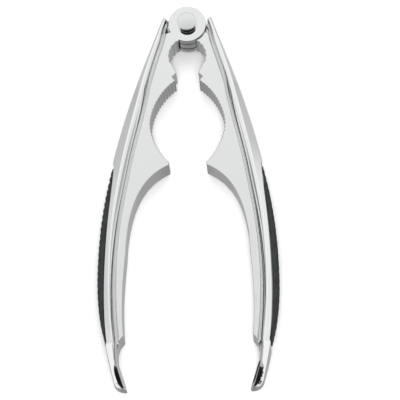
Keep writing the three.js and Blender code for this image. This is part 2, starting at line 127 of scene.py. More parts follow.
HAZELNUT_Y, HAZELNUT_R = -15.3, 8.1
HAZELNUT_END_ANGLE = math.radians(-25)
HAZELNUT_TEETH = 5
CUSP, NOTCH = (5, -23.6), (7, -25.4)
WALNUT_Y = -47.9
WALNUT_HALF_WIDTH, WALNUT_HALF_LENGTH = 16.6, 22.3
WALNUT_POWER = 1.7
WALNUT_START_X, JAW_TIP_X = 5.4, 8.3
WALNUT_TEETH = 25
TOOTH_DEPTH = 0.45
JAW_TIP_FACE = 1.5
STRIP_START = 0.635
STRIP_WIDTH_START, STRIP_WIDTH_END = 11.1, 8.5
SWEEP_START_PULL, SWEEP_END_PULL = 14.5, 21
SWEEP_START_ANGLE = math.radians(-23)
PLATEAU_END, PLATEAU_BEVEL = 21, 2.4
SHOULDER_HOLLOW, HOLLOW_OVERLAP = 7, 0.3

GRIP_START, GRIP_END = 0.397, 0.872  # shares of the reach
GRIP_RECESS, GRIP_RECESS_RUN = 1.8, 0.01
RECESS_SHAPE = [(0, 0.5), (0.08, 0.8), (0.2, 1), (0.5, 0.95), (0.8, 0.7), (1, 0.45)]
GRIP_PROUD = [(0, -0.1), (0.155, 0.2), (0.385, 0.75), (0.64, 1.15), (0.765, 1.15), (0.89, 0.75), (1, 0.1)]
GRIP_FIT = 0.3
GRIP_EDGE = 0.9
GRIP_CROWN = 0.35

SCOOP_R, SCOOP_DEPTH, SCOOP_TILT = 20, 0.75, math.radians(17)
SCOOP_INSET, SCOOP_BACK = 3.1, 6


def eased(stations, x):
    """Value at x of a smooth curve through (x, value) stations, held level beyond the ends."""
    last = len(stations) - 1
    x = min(max(x, stations[0][0]), stations[last][0])
    i = min(last - 1, max(k for k, station in enumerate(stations) if station[0] <= x))

    def slope_at(k):
        if k in (0, last):
            return 0.0
        return (stations[k + 1][1] - stations[k - 1][1]) / (stations[k + 1][0] - stations[k - 1][0])

    (x0, v0), (x1, v1) = stations[i], stations[i + 1]
    run = x1 - x0
    t = (x - x0) / run
    blend = t * t * (3 - 2 * t)
    bends = t * (1 - t) ** 2 * slope_at(i) * run - t * t * (1 - t) * slope_at(i + 1) * run
    return v0 + (v1 - v0) * blend + bends


def natural_spline(xs, ys):
    """Function through the points with continuous curvature, and its slope."""
    xs, ys = np.asarray(xs, float), np.asarray(ys, float)
    n = len(xs)
    h = np.diff(xs)
    system, right = np.eye(n), np.zeros(n)
    for i in range(1, n - 1):
        system[i, i - 1 : i + 2] = h[i - 1], 2 * (h[i - 1] + h[i]), h[i]
        right[i] = 6 * ((ys[i + 1] - ys[i]) / h[i] - (ys[i] - ys[i - 1]) / h[i - 1])
    bend = np.linalg.solve(system, right)

    def piece(x):
        i = int(np.clip(np.searchsorted(xs, x) - 1, 0, n - 2))
        return i, x - xs[i], xs[i + 1] - x

    def value(x):
        i, a, b = piece(x)
        cubic = (bend[i] * b**3 + bend[i + 1] * a**3) / (6 * h[i])
        return cubic + (ys[i] / h[i] - bend[i] * h[i] / 6) * b + (ys[i + 1] / h[i] - bend[i + 1] * h[i] / 6) * a

    def slope(x):
        i, a, b = piece(x)
        cubic = (bend[i + 1] * a * a - bend[i] * b * b) / (2 * h[i])
        return cubic + (ys[i + 1] - ys[i]) / h[i] - (bend[i + 1] - bend[i]) * h[i] / 6

    return value, slope


# ---------------------------------------------------------------- the rim's course and section

# Outer edge of the arm, seen from above: shares of the reach and of the flare.
FLANK_X = EAR_R + EAR_GAP + RIM_END_WALL
COURSE = [
    (0.14, 0.331),
    (0.306, 0.665),
    (0.472, 0.9),
    (0.65, 1),
    (0.814, 0.967),
    (0.915, 0.868),
    (1, 0.743),
]
course_x, course_slope = natural_spline(
    [-HINGE_RISE / REACH, 0] + [down for down, out in COURSE],
    [FLANK_X - HINGE_LEAN, FLANK_X] + [FLANK_X + out * (SPREAD - FLANK_X) for down, out in COURSE],
)


def frame_at(share):
    """Point of the outer edge at a share of the reach, and the unit direction inward from it."""
    along = np.array([course_slope(share), -REACH])
    along /= np.linalg.norm(along)
    return np.array([course_x(share), -share * REACH]), np.array([along[1], -along[0]])


def from_rim(share, inset):
    point, inward = frame_at(share)
    return point + inward * inset


def pocket_half_width(y):
    part = min(1, abs(y - WALNUT_Y) / WALNUT_HALF_LENGTH)
    return WALNUT_HALF_WIDTH * (1 - part**WALNUT_POWER) ** (1 / WALNUT_POWER)


def web_inset(share):
    """Distance from the rim's outer edge in to the web's raised face."""
    chosen = eased([(0, RIM_END_WIDTH), (0.05, 4.5), (0.1, 5), (0.15, 5.7), (0.2, 7), (0.26, 7.9), (0.35, 8.4),
                    (0.45, 8.7), (0.55, 8.2), (0.65, 7.6), (0.8, 6.9), (0.87, 6.3), (0.9, 5.4), (0.925, 4.8),
                    (0.95, 5.2), (1, 5.7)], share)
    pocket = pocket_half_width(-share * REACH)
    return min(chosen, course_x(share) - pocket - TOOTH_DEPTH - JAW_WALL) if pocket else chosen


def valley_inset(share):
    return web_inset(share) - VALLEY_WIDTH - STRIP_SEEN


def shelf_inset(share):
    stations = [(0.01, TIP_UNDERLAP), (0.06, SHELF_UNDERLAP), (0.86, SHELF_UNDERLAP), (0.9, TIP_UNDERLAP)]
    return valley_inset(share) + eased(stations, share)


def rim_depth(share):
    return eased([(0.88, RIM_HALF_DEPTH), (1, TIP_HALF_DEPTH)], share)


def shelf_depth(share):
    return eased([(0.88, SHELF_HALF_DEPTH), (1, TIP_SHELF_HALF_DEPTH)], share)


def grip_recess(share):
    """How far the rim is let in for the pad: a hollow with a short step at each end."""
    run = GRIP_RECESS_RUN
    step = eased([(GRIP_START - run, 0), (GRIP_START, 1), (GRIP_END, 1), (GRIP_END + run, 0)], share)
    return GRIP_RECESS * step * eased(RECESS_SHAPE, (share - GRIP_START) / (GRIP_END - GRIP_START))


def rounded(corners, steps=5):
    """Polyline through (x, y, radius) corners, each corner turned into an arc of that radius."""
    points = [np.array(corners[0][:2], float)]
    for before, here, after in zip(corners, corners[1:], corners[2:]):
        p, a, b = (np.array(c[:2], float) for c in (here, before, after))
        to_a, to_b = a - p, b - p
        reach = min(np.linalg.norm(to_a), np.linalg.norm(to_b)) * CORNER_REACH
        to_a, to_b = to_a / np.linalg.norm(to_a), to_b / np.linalg.norm(to_b)
        half = math.acos(float(np.clip(to_a @ to_b, -1, 1))) / 2
        run = min(here[2] / max(math.tan(half), 1e-6), reach)
        for i in range(steps + 1):
            t = i / steps
            points.append(p + to_a * run * (1 - t) ** 2 + to_b * run * t**2)
    points.append(np.array(corners[-1][:2], float))
    return points


def rim_section(share):
    """Upper half of the rim's section as (inset, height), from the middle of the flank inward."""
    top, shelf = rim_depth(share), shelf_depth(share)
    width, recess = web_inset(share), grip_recess(share)
    start = width * eased(CREST_START, share)
    end = min(width * eased(CREST_END, share), valley_inset(share) - SLOPE_LEAST)
    crest = top - CREST_DROP
    fall = max(0.0, 1 - recess / start)
    start = max(start, recess + CREST_LEAST)
    return rounded([
        (recess, 0, 0),
        (recess, crest - BEVEL_DROP * fall, RECESSED_BEVEL_R if recess else BEVEL_R),
        (start, crest, BEVEL_R),
        ((start + end) / 2, top, CREST_MIDDLE_R),
        (end, crest, CREST_END_R),
        (valley_inset(share) - FOOT_WIDTH, shelf + FOOT_RISE, FOOT_R),
        (valley_inset(share), shelf, STRIP_R),
        (shelf_inset(share), shelf, 0),
    ])


def rim_ring(share, cut_away=0.0):
    """Closed ring of the rim at a share of the reach, with part of its width cut away from the outer side."""
    point, inward = frame_at(share)
    limit = shelf_inset(share)
    upper = [(inset + (limit - inset) * cut_away, height) for inset, height in rim_section(share)]
    lower = [(inset, -height) for inset, height in reversed(upper[1:])]
    return [(*(point + inward * inset), height) for inset, height in upper + lower]


def rim_rings():
    start, end = -HINGE_RISE / REACH, 1 - TIP_ROUND / REACH
    rings = [rim_ring(start + (end - start) * i / RIM_STATIONS) for i in range(RIM_STATIONS + 1)]
    for i in range(1, ROUND_STEPS + 1):
        reach = TIP_ROUND_LIMIT * math.sin(i / ROUND_STEPS * math.pi / 2)
        rings.append(rim_ring(end + (1 - end) * reach, 1 - math.sqrt(1 - reach * reach)))
    return rings


# ---------------------------------------------------------------- the web's outline

CLEAR_R = EAR_R + EAR_GAP
SHOULDER_SHARE = 1 - (PLATEAU_END + PLATEAU_BEVEL) / REACH
BEVEL_END_SHARE = 1 - PLATEAU_END / REACH
WEB_HINGE_SHARE, CORE_HINGE_SHARE = 0.02, 0.04  # where the web and its core begin, below the pivot


def hazelnut_wall(t):
    drop = (CLEAR_R**2 - HAZELNUT_R**2 + HAZELNUT_Y**2) / (2 * HAZELNUT_Y)
    start = math.asin((drop - HAZELNUT_Y) / HAZELNUT_R)
    angle = start + (HAZELNUT_END_ANGLE - start) * t
    return np.array([HAZELNUT_R * math.cos(angle), HAZELNUT_Y + HAZELNUT_R * math.sin(angle)])


def walnut_wall(t):
    def angle_at(x):
        return math.acos((x / WALNUT_HALF_WIDTH) ** (WALNUT_POWER / 2))

    start, end = angle_at(WALNUT_START_X), -angle_at(JAW_TIP_X)
    angle = start + (end - start) * t
    drop = WALNUT_HALF_LENGTH * abs(math.sin(angle)) ** (2 / WALNUT_POWER)
    x = WALNUT_HALF_WIDTH * math.cos(angle) ** (2 / WALNUT_POWER)
    return np.array([x, WALNUT_Y + math.copysign(drop, angle)])


def toothed(wall, teeth):
    """A wall cut with round grooves, which leave sharp ridges between them."""
    samples = np.array([wall(t) for t in np.linspace(0, 1, WALL_SAMPLES)])
    lengths = np.concatenate([[0], np.cumsum(np.linalg.norm(np.diff(samples, axis=0), axis=1))])
    steps = teeth * TOOTH_STEPS
    points = []
    for i in range(steps + 1):
        at = lengths[-1] * i / steps
        here, behind, ahead = (
            np.array([np.interp(at + shift, lengths, samples[:, axis]) for axis in (0, 1)])
            for shift in (0, -WALL_TANGENT_RUN, WALL_TANGENT_RUN)
        )
        along = (ahead - behind) / np.linalg.norm(ahead - behind)
        depth = TOOTH_DEPTH * abs(math.sin(math.pi * teeth * i / steps))
        points.append(here + np.array([-along[1], along[0]]) * depth)
    return points


def strip_inset(share):
    part = (share - STRIP_START) / (SHOULDER_SHARE - STRIP_START)
    return STRIP_WIDTH_START + (STRIP_WIDTH_END - STRIP_WIDTH_START) * part


def bezier(p0, p1, p2, p3, steps):
    ts = [i / steps for i in range(steps + 1)]
    return [p0 * (1 - t) ** 3 + p1 * 3 * t * (1 - t) ** 2 + p2 * 3 * t * t * (1 - t) + p3 * t**3 for t in ts]


def inner_edge():
    """Inner side of the arm from the hinge to the shoulder, and how far its edges are broken."""
    tip = walnut_wall(1)
    face_end = tip * (1 + JAW_TIP_FACE / np.linalg.norm(tip))
    strip_top = from_rim(STRIP_START, strip_inset(STRIP_START))
    leave = np.array([math.cos(SWEEP_START_ANGLE), math.sin(SWEEP_START_ANGLE)]) * SWEEP_START_PULL
    along = np.array([course_slope(STRIP_START), -REACH])
    settle = -along / np.linalg.norm(along) * SWEEP_END_PULL
    sweep = bezier(face_end, face_end + leave, strip_top + settle, strip_top, OUTLINE_STEPS)
    shares = [STRIP_START + (SHOULDER_SHARE - STRIP_START) * (i + 1) / OUTLINE_STEPS for i in range(OUTLINE_STEPS)]
    strip = [from_rim(share, strip_inset(share)) for share in shares]
    return [
        *toothed(hazelnut_wall, HAZELNUT_TEETH),
        np.array(CUSP),
        np.array(NOTCH),
        *toothed(walnut_wall, WALNUT_TEETH),
        *sweep,
        *strip,
    ]


def outer_edge(from_share, to_share, inset):
    shares = [from_share + (to_share - from_share) * i / (2 * OUTLINE_STEPS) for i in range(2 * OUTLINE_STEPS + 1)]
    return [from_rim(share, inset(share)) for share in shares]


def web_face():
    """Outline of the web's raised face, and the bevel at each of its points."""
    inner = inner_edge()
    outer = outer_edge(BEVEL_END_SHARE, WEB_HINGE_SHARE, lambda share: web_inset(share) - VALLEY_WIDTH)
    outline = [np.zeros(2), *inner, *outer]
    bevels = [0.0] + [EDGE_BREAK] * len(inner) + [FACE_BEVEL] * len(outer)
    return outline, bevels


def web_core():
    """Outline of the lower plate, which runs on past the shoulder in a hollow curve."""
    hollow_end = SHOULDER_SHARE + SHOULDER_HOLLOW / REACH
    start = from_rim(SHOULDER_SHARE, strip_inset(SHOULDER_SHARE))
    bend = from_rim(BEVEL_END_SHARE, shelf_inset(hollow_end))
    end = from_rim(hollow_end, shelf_inset(hollow_end) - HOLLOW_OVERLAP)
    steps = OUTLINE_STEPS // 2
    ts = [(i + 1) / steps for i in range(steps)]
    hollow = [start * (1 - t) ** 2 + bend * 2 * t * (1 - t) + end * t * t for t in ts]
    outer = outer_edge(hollow_end, CORE_HINGE_SHARE, lambda share: web_inset(share) / 2)
    return [np.zeros(2), *inner_edge(), *hollow, *outer]


# ---------------------------------------------------------------- mesh helpers

def new_object(name, vertices, faces):
    mesh = bpy.data.meshes.new(name)
    mesh.from_pydata([tuple(map(float, v)) for v in vertices], [], faces)
    mesh.validate()
    obj = bpy.data.objects.new(name, mesh)
    bpy.context.scene.collection.objects.link(obj)
    return obj


def loft(name, rings):
    """Closed skin over a row of rings with the same number of points, with flat ends."""
    count = len(rings[0])
    vertices = [point for ring in rings for point in ring]
    faces = []
    for r in range(len(rings) - 1):
        for i in range(count):
            a, b = r * count + i, r * count + (i + 1) % count
            faces.append((a, b, b + count, a + count))
    faces.append(tuple(reversed(range(count))))
    last = (len(rings) - 1) * count
    faces.append(tuple(range(last, last + count)))
    return facing_out(new_object(name, vertices, faces))


def facing_out(obj):
    """Turns a closed mesh the right way out."""
    mesh = obj.data
    mesh.calc_loop_triangles()
    volume = 0.0
    for tri in mesh.loop_triangles:
        a, b, c = (mesh.vertices[i].co for i in tri.vertices)
        volume += a.dot(b.cross(c))
    if volume < 0:
        mesh.flip_normals()
    return obj


def inset_outline(outline, distances):
    """The outline moved inward at each point, for a counter-clockwise or clockwise outline alike."""
    points = np.array(outline)
    before, after = np.roll(points, 1, axis=0), np.roll(points, -1, axis=0)
    area = np.sum(points[:, 0] * after[:, 1] - after[:, 0] * points[:, 1])

    def normals(a, b):
        along = b - a
        along /= np.maximum(np.linalg.norm(along, axis=1, keepdims=True), 1e-9)
        return np.stack([-along[:, 1], along[:, 0]], axis=1) * np.sign(area)

    mean = normals(before, points) + normals(points, after)
    mean /= np.maximum(np.linalg.norm(mean, axis=1, keepdims=True), 1e-9)
    return points + mean * np.asarray(distances)[:, None]


def bevelled_plate(name, outline, bevels, half_depth):
    """Plate with both faces' edges bevelled by the width given for each point."""
    bevels = np.asarray(bevels)
    upper = [
        [(*p, half_depth - drop * bevel) for p, bevel in zip(inset_outline(outline, bevels * pull), bevels)]
        for pull, drop in EDGE_LEVELS
    ]
    lower = [[(x, y, -z) for x, y, z in ring] for ring in reversed(upper)]
    return loft(name, lower + upper)


def hinge_angles():
    return np.arange(HINGE_SEGMENTS) / HINGE_SEGMENTS * 2 * math.pi


def disc(name, radius, bottom, top, bevel=0.0):
    """Disc about the pivot axis, with both edges bevelled."""
    circle = [np.array([math.cos(a), math.sin(a)]) for a in hinge_angles()]
    levels = [(radius, bottom), (radius, top)]
    if bevel:
        bend = DISC_EDGE_SHAPE * bevel
        levels = [(radius - bevel, bottom), (radius - bend, bottom + bend), (radius, bottom + bevel),
                  (radius, top - bevel), (radius - bend, top - bend), (radius - bevel, top)]
    return loft(name, [[(*(direction * r), z) for direction in circle] for r, z in levels])


def boolean(target, operation, tool):
    """Joins the tool to the target or cuts it away, and deletes the tool."""
    modifier = target.modifiers.new(operation, "BOOLEAN")
    modifier.operation = operation
    modifier.solver = "MANIFOLD"
    modifier.object = tool
    bpy.context.view_layer.update()
    shaped = bpy.data.meshes.new_from_object(target.evaluated_get(bpy.context.evaluated_depsgraph_get()))
    target.modifiers.clear()
    old = target.data
    target.data = shaped
    bpy.data.meshes.remove(old)
    bpy.data.objects.remove(tool)
    return target


METAL_SHARP, PAD_SHARP = 32, 60  # degrees between faces, from which an edge is shaded sharp


def finish_piece(obj, name, body, node, material, sharp=METAL_SHARP):
    """Scales a piece to metres, puts it on its body in place of its CAD node, and shades it."""
    mesh = obj.data
    mesh.transform(Matrix.Translation((0, 0, MIDDLE * MM)) @ Matrix.Scale(MM, 4))
    mesh.materials.clear()
    mesh.materials.append(material)
    mesh.polygons.foreach_set("material_index", [0] * len(mesh.polygons))
    mesh.shade_smooth()
    mesh.set_sharp_from_angle(angle=math.radians(sharp))
    weighted = obj.modifiers.new("weighted normals", "WEIGHTED_NORMAL")
    weighted.keep_sharp = True
    weighted.weight = 100  # large faces decide the shading, so flats stay flat
    obj.name = name
    mesh.name = name
    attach(obj, body)
    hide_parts(node)
    return obj


def mirrored(obj):
    obj.data.transform(Matrix.Scale(-1, 4, (1, 0, 0)))
    obj.data.flip_normals()
    return obj


# ---------------------------------------------------------------- materials

MIX_FACTOR, MIX_A, MIX_B, MIX_RESULT = 0, 6, 7, 2  # sockets of a Mix node that mixes colours


def node_tools(tree):
    """Short ways to add a node with its settings, and to link two sockets."""
    def add(kind, **settings):
        node = tree.nodes.new(kind)
        for key, value in settings.items():
            if key in node.inputs:
                node.inputs[key].default_value = value
            else:
                setattr(node, key, value)
        return node

    return add, lambda a, b: tree.links.new(a, b)


def grey(tone):
    return tone, tone, tone, 1


def two_tones(add, link, factor, low, high):
    """Colour that runs between two (position, colour) stops with the factor."""
    node = add("ShaderNodeValToRGB")
    for element, (position, colour) in zip(node.color_ramp.elements, (low, high)):
        element.position, element.color = position, colour
    link(factor, node.inputs["Fac"])
    return node.outputs["Color"]


def new_material(name):
    material = bpy.data.materials.new(name)
    material.use_nodes = True
    shader = material.node_tree.nodes["Principled BSDF"]
    add, link = node_tools(material.node_tree)
    return material, shader, add, link


def noise(add, link, coordinates, scale, detail=3.0, roughness=0.5):
    node = add("ShaderNodeTexNoise", Scale=scale, Detail=detail, Roughness=roughness)
    link(coordinates, node.inputs["Vector"])
    return node.outputs["Fac"]


def ramp(add, link, factor, low, high, from_min=0.3, from_max=0.7):
    """Output that runs from low to high as the factor goes from from_min to from_max."""
    node = add("ShaderNodeMapRange", **{"From Min": from_min, "From Max": from_max, "To Min": low, "To Max": high})
    link(factor, node.inputs["Value"])
    return node.outputs["Result"]


def chrome_plate():
    """Bright plated casting: polishing haze, hairline scratches, unevenness, and painted shade that darkens its
    colour to near black in tight corners.
    """
    material, shader, add, link = new_material("chrome_plate")
    shader.inputs["Metallic"].default_value = 1.0
    # painted shade: ambient occlusion darkens the base colour in the casting's own tight corners, valleys and seams
    corner = add("ShaderNodeAmbientOcclusion", samples=6, only_local=True, Distance=0.0009)
    painted_corner_shade = add("ShaderNodeMix", data_type="RGBA")
    link(ramp(add, link, corner.outputs["AO"], 0, 1, 0.5, 0.8), painted_corner_shade.inputs[MIX_FACTOR])
    # near-black colour of the painted shade, then the plating's own colour
    painted_corner_shade.inputs[MIX_A].default_value = (0.03, 0.03, 0.031, 1)
    painted_corner_shade.inputs[MIX_B].default_value = (0.88, 0.885, 0.89, 1)
    link(painted_corner_shade.outputs[MIX_RESULT], shader.inputs["Base Color"])
    place = add("ShaderNodeTexCoord").outputs["Object"]
    haze = noise(add, link, place, 90, 4)
    stretch = add("ShaderNodeMapping", Scale=(1, 0.06, 1))
    link(place, stretch.inputs["Vector"])
    hairs = noise(add, link, stretch.outputs["Vector"], 2600, 2)
    both = add("ShaderNodeMath", operation="MULTIPLY")
    link(haze, both.inputs[0])
    link(hairs, both.inputs[1])
    link(ramp(add, link, both.outputs[0], 0.07, 0.13, 0.15, 0.35), shader.inputs["Roughness"])
    waves = noise(add, link, place, 140, 2)
    bump = add("ShaderNodeBump", Strength=0.04, Distance=0.0004)
    link(waves, bump.inputs["Height"])
    link(bump.outputs["Normal"], shader.inputs["Normal"])
    return material


def turned_steel():
    """Plated steel with the fine rings that turning leaves."""
    material, shader, add, link = new_material("turned_steel")
    shader.inputs["Base Color"].default_value = (0.78, 0.785, 0.79, 1)
    shader.inputs["Metallic"].default_value = 1.0
    place = add("ShaderNodeTexCoord").outputs["Object"]
    rings = add("ShaderNodeTexWave", wave_type="RINGS", rings_direction="Z", Scale=900, Distortion=0.4, Detail=2)
    link(place, rings.inputs["Vector"])
    link(ramp(add, link, rings.outputs["Fac"], 0.07, 0.12, 0, 1), shader.inputs["Roughness"])
    bump = add("ShaderNodeBump", Strength=0.03, Distance=0.00005)
    link(rings.outputs["Fac"], bump.inputs["Height"])
    link(bump.outputs["Normal"], shader.inputs["Normal"])
    return material


def grip_rubber():
    """Matt charcoal rubber with a fine moulded grain and paler, rubbed high spots."""
    material, shader, add, link = new_material("grip_rubber")
    place = add("ShaderNodeTexCoord").outputs["Object"]
    mottle = noise(add, link, place, 420, 4)
    colour = two_tones(add, link, mottle, (0.3, (0.011, 0.013, 0.0135, 1)), (0.7, (0.026, 0.029, 0.03, 1)))
    link(colour, shader.inputs["Base Color"])
    link(ramp(add, link, mottle, 0.55, 0.72), shader.inputs["Roughness"])
    grain = noise(add, link, place, 3200, 2)
    bump = add("ShaderNodeBump", Strength=0.25, Distance=0.0001)
    link(grain, bump.inputs["Height"])
    link(bump.outputs["Normal"], shader.inputs["Normal"])
    return material


def washer_nylon():
    """Black nylon with a faint speckle."""
    material, shader, add, link = new_material("washer_nylon")
    place = add("ShaderNodeTexCoord").outputs["Object"]
    speckle = noise(add, link, place, 1500, 3)
    colour = two_tones(add, link, speckle, (0, (0.012, 0.012, 0.013, 1)), (1, (0.03, 0.03, 0.032, 1)))
    link(colour, shader.inputs["Base Color"])
    link(ramp(add, link, speckle, 0.45, 0.6), shader.inputs["Roughness"])
    return material


# ---------------------------------------------------------------- the arms

def tip_scoop(side):
    """Ball that cuts a shallow scoop in one face of the tip, sloping down towards its end."""
    share = 1 - SCOOP_BACK / REACH
    point, inward = frame_at(share)
    toward_end = np.array([-inward[1], inward[0]])
    facing = np.array([*(toward_end * math.sin(SCOOP_TILT)), side * math.cos(SCOOP_TILT)])
    low = np.array([*(point + inward * SCOOP_INSET), side * (rim_depth(share) - SCOOP_DEPTH)])
    centre = low + facing * SCOOP_R
    angles = [2 * math.pi * j / SCOOP_COLUMNS for j in range(SCOOP_COLUMNS)]
    rings = []
    for i in range(1, SCOOP_ROWS):
        tilt = math.pi * i / SCOOP_ROWS
        radius, height = SCOOP_R * math.sin(tilt), -SCOOP_R * math.cos(tilt)
        rings.append([tuple(centre + np.array((radius * math.cos(a), radius * math.sin(a), height))) for a in angles])
    return loft("scoop", rings)


def arm_blank(name):
    """Arm before the hinge is cut: rim, raised web and the core below it, with the tip's hollows."""
    arm = loft(name, rim_rings())
    outline, bevels = web_face()
    boolean(arm, "UNION", bevelled_plate("web_face", outline, bevels, WEB_HALF_DEPTH))
    core = web_core()
    boolean(arm, "UNION", bevelled_plate("web_core", core, [EDGE_BREAK] * len(core), SHELF_HALF_DEPTH - CORE_SINK))
    for side in (1, -1):
        boolean(arm, "DIFFERENCE", tip_scoop(side))
    return arm


def lug_arm():
    """Right arm, which ends in the hinge's middle lug."""
    above = RIM_HALF_DEPTH + CUT_OVERRUN
    arm = arm_blank("right_arm_casting")
    boolean(arm, "DIFFERENCE", disc("cut", CLEAR_R, LUG_HALF_DEPTH, above))
    boolean(arm, "DIFFERENCE", disc("cut", CLEAR_R, -above, -LUG_HALF_DEPTH))
    boolean(arm, "UNION", disc("lug", EAR_R, -LUG_HALF_DEPTH, LUG_HALF_DEPTH, EDGE_BREAK))
    return boolean(arm, "DIFFERENCE", disc("bore", BORE_R, -above, above))


def fork_arm():
    """Left arm, which ends in the hinge's two ears."""
    above = RIM_HALF_DEPTH + CUT_OVERRUN
    arm = arm_blank("left_arm_casting")
    boolean(arm, "UNION", disc("ears", EAR_R, -WEB_HALF_DEPTH, WEB_HALF_DEPTH, EDGE_BREAK))
    boolean(arm, "DIFFERENCE", disc("slot", CLEAR_R, -FORK_HALF_GAP, FORK_HALF_GAP))
    return mirrored(boolean(arm, "DIFFERENCE", disc("bore", BORE_R, -above, above)))


# ---------------------------------------------------------------- hinge hardware

def turned(name, corners, steps=4):
    """Body turned about the pivot axis, from (radius, height, corner radius) points."""
    profile = rounded([*corners, corners[0]], steps)[:-1]
    vertices = [(r * math.cos(a), r * math.sin(a), z) for a in hinge_angles() for r, z in profile]
    count = len(profile)
    faces = []
    for s in range(HINGE_SEGMENTS):
        for i in range(count):
            a, b = s * count + i, s * count + (i + 1) % count
            shift = ((s + 1) % HINGE_SEGMENTS - s) * count
            faces.append((a, b, b + shift, a + shift))
    return facing_out(new_object(name, vertices, faces))


def turned_pin():
    rear, seat, top = -RIM_HALF_DEPTH, WEB_HALF_DEPTH + SEAT_GAP, PIN_TOP
    return turned("pin", [
        (PIN_CORE_R, (rear + top) / 2, 0),
        (PIN_CORE_R, rear + PIN_DIMPLE_DEPTH, 0.1),
        (PIN_DIMPLE_R, rear + PIN_DIMPLE_RISE, 0.5),
        (PIN_R, rear, 0.35),
        (PIN_R, seat, 0.05),
        (PIN_HEAD_R, seat, 0.12),
        (PIN_HEAD_R, top, 0.2),
        (PIN_CORE_R, top, 0),
    ])


def turned_collar():
    inner = PIN_R + COLLAR_GAP
    return turned("collar", [
        (inner, (-RIM_HALF_DEPTH + COLLAR_SEAT) / 2, 0),
        (inner, -RIM_HALF_DEPTH, 0.2),
        (COLLAR_R, -RIM_HALF_DEPTH, 0.4),
        (COLLAR_R, COLLAR_SEAT, 0.15),
        (inner, COLLAR_SEAT, 0.1),
    ])


def turned_washer(side):
    """Washer beside the lug, at the front (side 1) or the rear (side -1)."""
    near, far = side * WASHER_NEAR, side * WASHER_FAR
    return turned("washer", [
        (BORE_R, (near + far) / 2, 0),
        (BORE_R, near, 0.06),
        (WASHER_R, near, 0.2),
        (WASHER_R, far, 0.2),
        (BORE_R, far, 0.06),
    ])


# ---------------------------------------------------------------- grips

NUB_PITCH = 2.9
NUB_HEIGHT = 0.55
NUB_SINK = 0.06  # how far the nubs' tops stay below the pad's outline
NUB_ROWS = 7
NUB_SQUASH = 0.8  # below 1, nubs are wider across the pad than along it
NUB_FLATNESS = 0.75  # below 1, nubs have flatter tops and steeper sides
NUB_MARGIN = 0.4  # share of the pad's edge that stays free of nubs
NUB_FADE_START, NUB_FADE_END = 12, 10  # how quickly the nubs rise from the pad's two ends
GRIP_END_DEPTH, GRIP_END_TAPER = 0.5, 5  # depth share at the pad's ends, and how quickly it grows from there
GRIP_EDGE_LIMIT = 0.6  # most of the pad's thickness that its rounded edge takes up
GRIP_SIDE_TUCK = 0.15  # share of the rounded edge left out beside the flat side
GRIP_RINGS = 300
GRIP_AROUND = 48


def grip_depth(along):
    return GRIP_HALF_DEPTH * min(1, GRIP_END_DEPTH + math.sqrt(min(along, 1 - along) * GRIP_END_TAPER))


def nub(run, across):
    """Height share of the moulded nubs at a distance along the pad and a place across it from -1 to 1."""
    row = across * NUB_ROWS / 2
    nearest = round(row)
    phase = run / NUB_PITCH
    du = (phase - round(phase)) * 2
    dv = (row - nearest) * 2
    bump = max(0.0, 1 - du * du - dv * dv * NUB_SQUASH)
    return bump**NUB_FLATNESS


def grip_pad():
    """Pad let into the rim's flank: rounded edges, a crowned back and rows of moulded nubs."""
    rings = []
    length = (GRIP_END - GRIP_START) * REACH
    for i in range(GRIP_RINGS + 1):
        along = i / GRIP_RINGS
        share = GRIP_START + (GRIP_END - GRIP_START) * along
        point, inward = frame_at(share)
        back = grip_recess(share) - GRIP_FIT
        face, depth = -eased(GRIP_PROUD, along), grip_depth(along)
        edge = min(GRIP_EDGE, (back - face) * GRIP_EDGE_LIMIT)
        crown = GRIP_CROWN * min(1, edge / GRIP_EDGE)
        fade = min(1, along * NUB_FADE_START, (1 - along) * NUB_FADE_END)
        ring = [(back, -depth), (face + edge, -depth)]
        for j in range(GRIP_AROUND + 1):
            v = -1 + 2 * j / GRIP_AROUND
            height = v * (depth - GRIP_SIDE_TUCK * edge)
            rim = max(0.0, (abs(height) - (depth - edge)) / edge)
            dome = face + edge * (1 - math.sqrt(max(0.0, 1 - rim * rim)))
            lift = crown * (1 - v * v)
            across = height / (depth - NUB_MARGIN * edge)
            raised = NUB_HEIGHT * nub(along * length, across) * fade if abs(across) < 1 else 0
            ring.append((dome - lift - raised + (NUB_HEIGHT + NUB_SINK) * fade, height))
        ring += [(face + edge, depth), (back, depth)]
        rings.append([(*(point + inward * inset), height) for inset, height in ring])
    return loft("grip", rings)


# ---------------------------------------------------------------- the tool

chrome, steel, rubber, nylon = chrome_plate(), turned_steel(), grip_rubber(), washer_nylon()

finish_piece(fork_arm(), "left_arm_casting", "left_half", "left_arm", chrome)
finish_piece(lug_arm(), "right_arm_casting", "right_half", "right_arm", chrome)
finish_piece(mirrored(grip_pad()), "left_grip_pad", "left_half", "left_grip", rubber, PAD_SHARP)
finish_piece(grip_pad(), "right_grip_pad", "right_half", "right_grip", rubber, PAD_SHARP)
finish_piece(turned_pin(), "turned_pivot_pin", "left_half", "pivot_pin", steel)
finish_piece(turned_collar(), "turned_collar", "left_half", "pin_collar", steel)
finish_piece(turned_washer(1), "moulded_front_washer", "left_half", "front_washer", nylon)
finish_piece(turned_washer(-1), "moulded_rear_washer", "left_half", "rear_washer", nylon)

# ---------------------------------------------------------------- table, light and camera

CAMERA_PLACE = Vector((0.062, -0.503, 1.3175))  # fitted to the photograph, as are the three below
CAMERA_AIM = Vector((0.005206, -0.0819, 0.0095))
CAMERA_LENS = 276.26
CAMERA_ROLL = 0.0044116
SENSOR_WIDTH = 36

TABLE_HALF, TABLE_THICK, TABLE_LIP = 3.0, 0.03, 0.01
TABLE_EDGE_SHAPE = 0.3  # share of the lip where its edge bends

